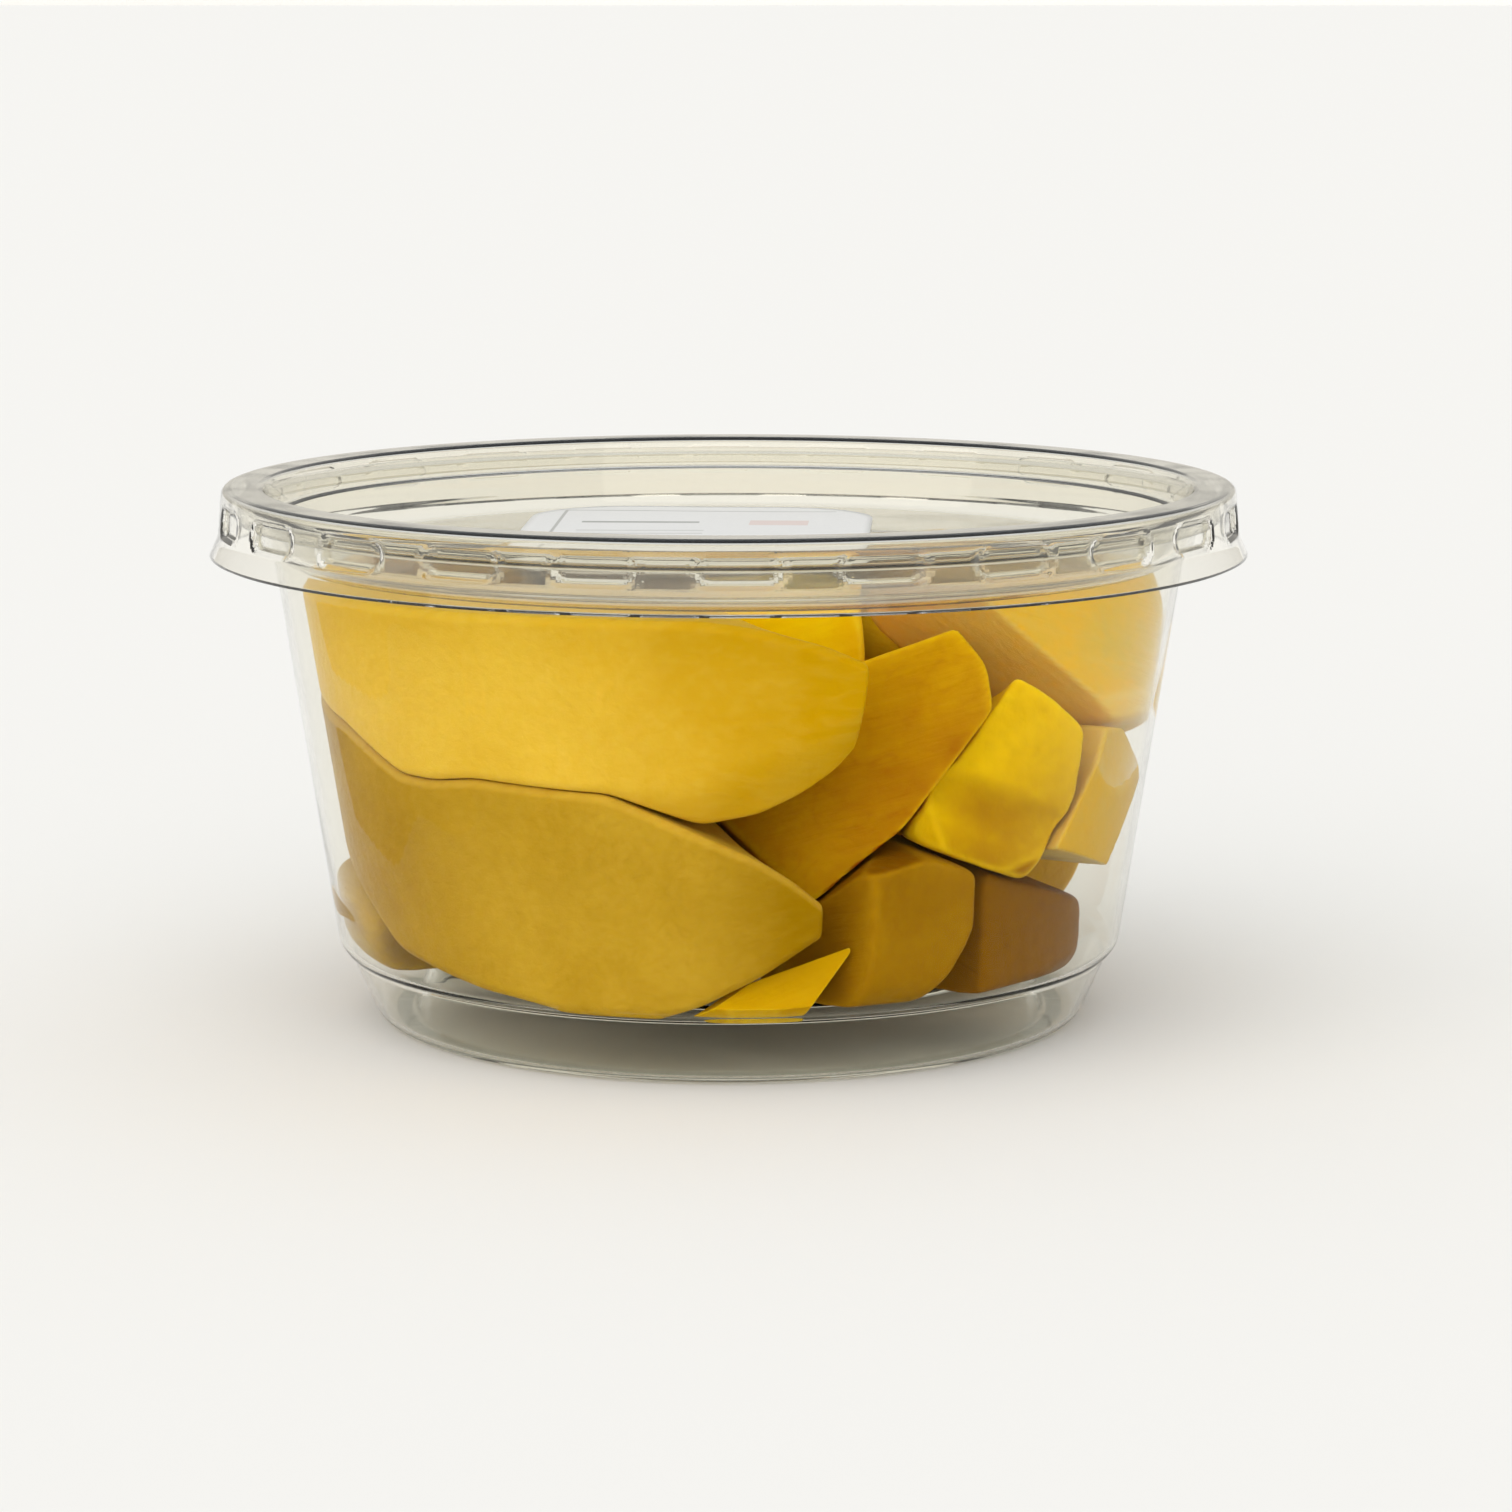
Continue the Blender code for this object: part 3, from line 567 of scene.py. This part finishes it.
def block_rings(node, swell, sharpness):
    """Rings of a block, how near each point is to a sharp edge (0 to 1), and its long axis.

    The distance out from its middle is a smooth least one to its cuts. With q = normal .
    direction / distance from the middle for each cut, and 1 / distance for the wall's cone,
    the reach is (sum of q^p)^(-1/p), p being the sharpness. The cone's distance is the root
    of a t^2 + 2 b t + c = 0 for a ray from the middle. Rings run round the longest axis, and
    directions are those of an ellipsoid with the block's own sizes.
    """
    normal, distance, co = cuts_of(node)
    middle = co.mean(0)
    axes = np.linalg.svd(co - middle, full_matrices=False)[2]
    along = (co - middle) @ axes.T
    size = np.ptp(along, axis=0) / 2
    middle = middle + ((along.max(0) + along.min(0)) / 2) @ axes
    tilt = 1 / np.hypot(1, WALL_SLOPE)
    faces_wall = abs(normal[:, 2] + WALL_SLOPE * tilt) < WALL_LEAN_SLACK
    near_wall = abs(distance - (WALL_BASE - TUB_WALL - WALL_GAP) * tilt) < WALL_PLACE_SLACK
    on_wall = faces_wall & near_wall
    normal, distance, touches = normal[~on_wall], distance[~on_wall], on_wall.any()
    t = np.linspace(0, pi, BLOCK_ROWS)[:, None]
    u = np.linspace(0, 2 * pi, BLOCK_COLUMNS, endpoint=False)[None]
    ball = np.stack([np.cos(t) + 0 * u, np.sin(t) * np.cos(u), np.sin(t) * np.sin(u)], -1)
    direction = (ball * size) @ axes
    direction /= np.linalg.norm(direction, axis=-1, keepdims=True)
    q = np.maximum(direction @ normal.T, 0) / (distance - normal @ middle)
    base = WALL_BASE - TUB_WALL + CLING
    flat, rise = direction[..., :2], direction[..., 2]
    here = base + WALL_SLOPE * middle[2]
    a = np.sum(flat ** 2, -1) - (WALL_SLOPE * rise) ** 2
    b = 2 * (flat @ middle[:2] - WALL_SLOPE * rise * here)
    c = middle[:2] @ middle[:2] - here ** 2
    wall = np.maximum(b + np.sqrt(np.maximum(b * b - 4 * a * c, 0)), 0) / (-2 * c)
    powers = np.concatenate([q, (wall * touches)[..., None]], -1) ** sharpness
    total = powers.sum(-1)
    cling = powers[..., -1] / total
    edge = 1 - powers.max(-1) / total
    reach = total ** (-1 / sharpness)
    points = middle + direction * reach[..., None]
    points += direction * (swell(points, axes[0]) * (1 - cling))[..., None]
    return points, edge, axes[0]


def soft_waves(seed, depth, size=(8, 15), ridges=0.03):
    """Function of points and grain: swells of a size and depth in mm, and fibre ridges.

    Swells are the mean of five sine waves at random turns, and ridges of sine waves whose
    fronts lie along the grain, 1.6 to 3 mm apart.
    """
    draw = np.random.default_rng(seed)
    turns = draw.normal(size=(5, 3))
    turns /= np.linalg.norm(turns, axis=1, keepdims=True)
    swell_waves = turns * (2 * pi / draw.uniform(*size, 5))[:, None]
    across = draw.normal(size=(4, 3))
    spacing = 2 * pi / draw.uniform(1.6, 3.0, 4)
    phases = draw.uniform(0, 2 * pi, 9)

    def waves(points, grain):
        level = across - np.outer(across @ grain, grain)
        level /= np.linalg.norm(level, axis=1, keepdims=True)
        swells = np.sin(points @ swell_waves.T + phases[:5]).mean(-1)
        threads = np.sin(points @ (level * spacing[:, None]).T + phases[5:]).mean(-1)
        return depth * swells + ridges * threads

    return waves


# The crease that a neighbour pressed across one block: a point on it, the way it runs and
# the way the face looks
CREASE_POINT = (28.99, -32.34, 28.31)
CREASE_ALONG = (0.835, 0.345, -0.428)
CREASE_FACING = (0.358, -0.932, -0.052)
CREASE_HALF_WIDTH = 3.4
CREASE_DEPTH = 1.1
CREASE_REACH = 5.0
# Painted shade: the crease's hollow is drawn in a deeper tone
CREASE_SHADE = 0.4


def crease_share(points):
    """How deep the crease is, from 0 to 1: (1 - (across / half width)^2)^2 across its line."""
    along, facing = np.array(CREASE_ALONG), np.array(CREASE_FACING)
    away = points - np.array(CREASE_POINT)
    across = away @ np.cross(facing, along)
    front = np.clip(1 + away @ facing / CREASE_REACH, 0, 1)
    return np.clip(1 - (across / CREASE_HALF_WIDTH) ** 2, 0, 1) ** 2 * front


# Each block's light, middle and deep tone, its seed, and its ripe share: at its middle,
# and how much it grows across its width, its depth and its height. The share is riper flesh and
# also painted shade: it deepens the tone towards the bottom and back of pieces lit from above,
# and the slanted slab, in shadow behind the cheeks, is drawn almost wholly in its dark deep tone.
# The upright and corner blocks, low on the right where little light falls, have tones darkened
# as painted shade.
BLOCK_LOOKS = {
    "slanted_slab": ("#ecc810", "#dcaa00", "#903e00", 11, (0.95, -0.1, 0, -1.7)),
    "creased_block": ("#ffd818", "#f4c800", "#a47000", 12, (0.4, 1.2, 0, -1.6)),
    "upright_block": ("#bc9010", "#aa7c00", "#744600", 13, (0.65, 0.3, 0, -0.3)),
    "corner_block": ("#94680c", "#885a00", "#603400", 14, (0.4, 0.9, 0, 0)),
    "right_slab": ("#ecd484", "#dcb94a", "#ffba00", 15, (0.1, -0.9, 0, -0.6)),
    "right_strip": ("#e4c870", "#d6b148", "#e6b008", 16, (0.1, -0.8, 0, 0)),
    "left_wedge": ("#bc9810", "#ac8800", "#845e00", 17, (0.3, 0, 0, -0.5)),
    "middle_chunk": ("#ffe030", "#f8d000", "#e4a600", 18, (0.1, 0, 0, -0.3)),
    "floor_sliver": ("#ecc428", "#d4a804", "#b48400", 19, (0.1, 0, 0, 0)),
}
HIDDEN_LOOK = ("#e6b81c", "#d8a404", "#ae7400", 30, (0.1, 0, 0, -0.4))
BLOCK_SWELL = 0.22
BLOCK_RIDGES = 0.04
SLIVER_SWELL = 0.03
SLIVER_RIDGES = 0.02
slots = {part["node"]: part["material_slot"] for part in frame["record"]["subparts"]}
cheeks = ("upper_cheek", "lower_cheek")
blocks = sorted(n for n in frame["nodes"] if slots[n].startswith("mango") and n not in cheeks)
for number, node in enumerate(blocks):
    light, mid, deep, seed, riper = BLOCK_LOOKS.get(node, HIDDEN_LOOK)
    if node == "floor_sliver":
        waves = soft_waves(seed + number, SLIVER_SWELL, ridges=SLIVER_RIDGES)
    else:
        waves = soft_waves(seed + number, BLOCK_SWELL, ridges=BLOCK_RIDGES)
    sharpness = SOFT_SHARPNESS if node in SOFT_BLOCKS else SHARPNESS
    rings, edge, grain = block_rings(node, waves, sharpness)
    crease = crease_share(rings) * (node == "creased_block")
    rings = rings - np.array(CREASE_FACING) * (CREASE_DEPTH * crease)[..., None]
    spread = (rings - rings.mean((0, 1))) / np.ptp(rings, axis=(0, 1))
    # Ripeness and painted shade: deeper along the block's trend, and deeper in the crease as
    # painted shade
    ripe = riper[0] + spread @ np.array(riper[1:]) + CREASE_SHADE * crease
    finish = flesh("mango_flesh_" + node, light, mid, deep, grain)
    block = piece("mango_" + node, *capped(rings * MM), finish)
    # The edge share lays a lighter tone along the block's edges, a painted highlight
    mark(block, edge=closed(edge), ripe=closed(np.clip(ripe, 0, 1)))
    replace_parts(block, node)

# Lid
# A lid of the same clear PET, pressed on over the rim: a sunk panel, a stepped plug that
# fills the mouth, a flat crown and a flared skirt, with a row of lugs that hold it on.
LID_WALL = 0.5
LID_STEPS = 720
# Corners of the upper side, from the middle of the panel out to the hem, as for the tub
LID_PROFILE = [
    (0, 52.4, 0),
    (49.0, 52.4, 1.1),
    (50.7, 57.1, 0.35),
    (51.4, 57.1, 0.3),
    (52.4, 60.4, 0.6),
    (57.0, 60.4, 0.9),
    (57.45, 54.9, 0.5),
    (58.4, 52.8, 0),
]
# The skirt is drawn in rings this far apart (mm), from this radius on, to carry the lugs
SKIRT_CHORD = 0.3
SKIRT_RADIUS = 56.9
LUG_COUNT = 24
LUG_OFFSET = 1.1
LUG_LENGTH = 9.1
LUG_HEIGHT = 3.0
LUG_MIDDLE = 57.15
LUG_DEPTH = 0.6
LUG_SLOPE = 0.6
LUG_LEAST_RADIUS = 56.2


def spaced(outline, step, beyond):
    """The outline with points added, so that chords beyond a radius are shorter than a step.

    A chord in n parts gets points at the shares 0, 1/n, 2/n and so on of its length.
    """
    chord = np.diff(outline, axis=0)
    length = np.where(outline[1:, 0] > beyond, np.linalg.norm(chord, axis=1), 0)
    count = np.maximum(np.ceil(length / step).astype(int), 1)
    part = np.arange(count.sum()) - np.repeat(np.cumsum(count) - count, count)
    share = part / np.repeat(count, count)
    points = np.repeat(outline[:-1], count, 0) + np.repeat(chord, count, 0) * share[:, None]
    return np.concatenate([points, outline[-1:]])


def lugged(rings):
    """Press the lugs into the skirt: a dent with round ends, deep where a capsule's inside is.

    With s and z the distances along and up from a lug's middle, the way out of the capsule is
    hypot(max(|s| - straight half, 0), z) - height / 2, and the dent fades over the slope.
    """
    radius = np.hypot(rings[..., 0], rings[..., 1])
    turn = np.degrees(np.arctan2(rings[..., 0], -rings[..., 1])) - LUG_OFFSET
    pitch = 360 / LUG_COUNT
    along = np.radians((turn + pitch / 2) % pitch - pitch / 2) * radius
    beside = np.maximum(abs(along) - (LUG_LENGTH - LUG_HEIGHT) / 2, 0)
    out = np.hypot(beside, rings[..., 2] - LUG_MIDDLE) - LUG_HEIGHT / 2
    share = stepped(0.5 - out / LUG_SLOPE, 0, 1) * (radius > LUG_LEAST_RADIUS)
    rings[..., :2] *= (1 - LUG_DEPTH * share / np.maximum(radius, 1))[..., None]
    return rings


lid_outline = spaced(rounded(LID_PROFILE, BEND_CHORDS), SKIRT_CHORD, SKIRT_RADIUS)
lid_rings = lugged(turned(walled(lid_outline, -LID_WALL)[::-1], LID_STEPS))
# The lid stands clear of the fruit, so its PET keeps the real 1.575
lid_clear = clear_pet("clear_pet_lid", "#fdfbf4", glare=0.8, bend=1.575, ripple=12, depth=0.04)
lid = piece("lid_sheet", *capped(lid_rings * MM), lid_clear)
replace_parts(lid, "lid")

# Label
# A white paper label stuck on the lid's panel, with wide round corners, die cut from a roll.
# Its print is plain: thin grey rules, grey bars and a pale pink field.
LABEL_WIDTH = 41.0
LABEL_LENGTH = 60.0
LABEL_CORNER = 12.0
LABEL_CORNER_TIGHTNESS = 40
LABEL_CENTRE = (-4.2, 14.0)
LABEL_TURN = radians(-3)
LABEL_LOW = 52.43
LABEL_THICKNESS = 0.2
LABEL_WAVE = 0.04
LABEL_RINGS = 24
LABEL_COLUMNS = 240


def label_rings():
    """Rings from the middle of the label's underside out to its edge and back over its top.

    At a direction (cos a, sin a) the edge is the nearest corner's centre plus the direction
    times the corner's radius. The centre's two distances are multiplied by
    min(tightness |cos a|, 1) and min(tightness |sin a|, 1), so that the sides are straight.
    The paper lies in waves: 1 + sin(x / 7 + 1) sin(y / 9), x and y being in millimetres.
    """
    a = np.linspace(0, 2 * pi, LABEL_COLUMNS, endpoint=False)
    corner = np.array([LABEL_WIDTH, LABEL_LENGTH]) / 2 - LABEL_CORNER
    direction = np.stack([np.cos(a), np.sin(a)], 1)
    centre = corner * np.minimum(abs(direction) * LABEL_CORNER_TIGHTNESS, 1)
    rim = np.sign(direction) * centre + direction * LABEL_CORNER
    share = np.linspace(0, 1, LABEL_RINGS)
    share = np.concatenate([share, share[::-1]])
    flat = rim[None] * share[:, None, None]
    c, s = cos(LABEL_TURN), sin(LABEL_TURN)
    flat = flat @ np.array([[c, s], [-s, c]]) + np.array(LABEL_CENTRE)
    over = np.repeat([0.0, LABEL_THICKNESS], LABEL_RINGS)[:, None]
    wave = LABEL_WAVE * (1 + np.sin(flat[..., 0] / 7 + 1) * np.sin(flat[..., 1] / 9))
    return np.concatenate([flat, (LABEL_LOW + over + wave)[..., None]], -1)


PULP_GRAIN = 0.4
PULP_RELIEF = 0.01
# Printed fields: (left, right, near, far) in millimetres from the label's middle, and the ink
LABEL_PRINT = [
    ((-17, 16, 24.5, 25.0), "#a8a8a6"),
    ((-17, -16.6, -24, 25), "#b4b4b2"),
    ((6, 13, 10, 15), "#dcccc8"),
    ((-14, 0, 12, 13.5), "#a0a09e"),
    ((-14, 1, 4, 4.6), "#b8b8b6"),
    ((-14, 1, 1, 1.6), "#b8b8b6"),
    ((-14, 14, -6, -3), "#b0afac"),
    ((-14, 8, -11, -10.4), "#bcbcba"),
    ((-14, 14, -16, -15.4), "#bcbcba"),
    ((-14, 14, -24, -22), "#aaa9a6"),
]


def printed_paper():
    """Coated white paper, calendered half glossy, whose pulp grain shows as faint mottle.

    A field is inked where |x - its middle| and |y - its middle| are both within half its size.
    """
    made, tree, out = new_material("printed_label_paper")
    place = add(tree, "ShaderNodeTexCoord").outputs["Object"]
    own = add(tree, "ShaderNodeMapping", {
        "Vector": place, "Location": (LABEL_CENTRE[0] * MM, LABEL_CENTRE[1] * MM, 0),
        "Rotation": (0, 0, LABEL_TURN)}, vector_type="TEXTURE")
    axis = add(tree, "ShaderNodeSeparateXYZ", {0: own.outputs[0]})
    grain = add(tree, "ShaderNodeTexNoise", {
        "Vector": place, "Scale": 1 / (PULP_GRAIN * MM), "Detail": 3.0})
    tone = add(tree, "ShaderNodeMapRange", {
        "Value": grain.outputs["Fac"], "To Min": 0.72, "To Max": 0.8})
    paper = add(tree, "ShaderNodeCombineColor", {
        0: tone.outputs[0], 1: tone.outputs[0], 2: tone.outputs[0]})
    colour = paper.outputs[0]
    for (left, right, near, far), ink in LABEL_PRINT:
        beside = add(tree, "ShaderNodeMath", {
            0: axis.outputs[0], 1: (left + right) / 2 * MM, 2: (right - left) / 2 * MM},
            operation="COMPARE")
        along = add(tree, "ShaderNodeMath", {
            0: axis.outputs[1], 1: (near + far) / 2 * MM, 2: (far - near) / 2 * MM},
            operation="COMPARE")
        inside = add(tree, "ShaderNodeMath", {0: beside.outputs[0], 1: along.outputs[0]},
                     operation="MULTIPLY")
        colour = add(tree, "ShaderNodeMix", {
            0: inside.outputs[0], 6: colour, 7: linear(ink)}, data_type="RGBA").outputs[2]
    relief = add(tree, "ShaderNodeBump", {
        "Height": grain.outputs["Fac"], "Distance": PULP_RELIEF * MM})
    sheet = add(tree, "ShaderNodeBsdfPrincipled", {
        "Base Color": colour, "Roughness": 0.45, "IOR": 1.5,
        "Normal": relief.outputs["Normal"]})
    tree.links.new(sheet.outputs[0], out.inputs["Surface"])
    return made


label = piece("paper_label", *capped(label_rings() * MM), printed_paper())
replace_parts(label, "label")

# Studio
# A wide pale floor of matt paint whose far edge turns up past the horizon, one very wide soft
# light from high in front, and air that is paler overhead.
FLOOR_RADIUS = 200.0
FLOOR_RISE = 1.5
FLOOR_STEPS = 48
floor_paint, floor_tree, floor_out = new_material("pale_floor_paint")
paint = add(floor_tree, "ShaderNodeBsdfDiffuse", {"Color": linear("#efeeec")})
floor_tree.links.new(paint.outputs[0], floor_out.inputs["Surface"])
floor_profile = np.array([
    (0, 0), (0.9 * FLOOR_RADIUS, 0), (FLOOR_RADIUS, 0), (FLOOR_RADIUS, FLOOR_RISE)])
floor_rings = turned(floor_profile, FLOOR_STEPS)[:, ::-1]
floor_points = np.concatenate([floor_rings[0, :1], floor_rings[1:].reshape(-1, 3)])
step = np.arange(FLOOR_STEPS)
fan = np.stack([0 * step, 1 + (step + 1) % FLOOR_STEPS, 1 + step], 1)
floor_faces = [fan, quads(len(floor_profile) - 1, FLOOR_STEPS) + 1]
piece("studio_floor", floor_points, floor_faces, floor_paint)

# The light's height, turn and apparent width in degrees. It leaves no mirror image, because
# its edge would draw a hard patch in the lid
LIGHT_HEIGHT = 40
LIGHT_TURN = -20
LIGHT_WIDTH = 90
LIGHT_STRENGTH = 1.8
soft = bpy.data.lights.new("light_front", "SUN")
soft.energy = LIGHT_STRENGTH
soft.angle = radians(LIGHT_WIDTH)
soft.color = linear("#fffaf2")[:3]
holder = bpy.data.objects.new("light_front", soft)
bpy.context.scene.collection.objects.link(holder)
holder.rotation_euler = (pi / 2 - radians(LIGHT_HEIGHT), 0, radians(LIGHT_TURN))
holder.visible_glossy = False

HORIZON = "#d2cec4"
OVERHEAD = "#dce0e4"
ZENITH_RISE = 0.8
world = bpy.data.worlds.new("studio_air")
bpy.context.scene.world = world
world.use_nodes = True
air = world.node_tree
outward = add(air, "ShaderNodeTexCoord").outputs["Generated"]
way = add(air, "ShaderNodeSeparateXYZ", {0: outward})
rise = add(air, "ShaderNodeMapRange", {
    "Value": way.outputs["Z"], "From Min": 0.0, "From Max": ZENITH_RISE})
sky = add(air, "ShaderNodeMix", {
    0: rise.outputs[0], 6: linear(HORIZON), 7: linear(OVERHEAD)}, data_type="RGBA")
air.links.new(sky.outputs[2], air.nodes["Background"].inputs["Color"])
bpy.context.scene.view_settings.view_transform = "Standard"

# Camera
# The photo's own view: half a metre in front of the tub and a little above its lid, fitted to
# the outlines of the lid's hem and of the foot.
CAMERA_PLACE = (0, -0.50918, 0.11369)
CAMERA_DOWN = 0.165
CAMERA_ROLL = -0.006
camera = bpy.data.cameras.new("camera")
camera.lens = 107.73
camera.sensor_width = 36
holder = bpy.data.objects.new("camera", camera)
bpy.context.scene.collection.objects.link(holder)
holder.location = CAMERA_PLACE
holder.rotation_euler = (pi / 2 - CAMERA_DOWN, 0, CAMERA_ROLL)
bpy.context.scene.camera = holder
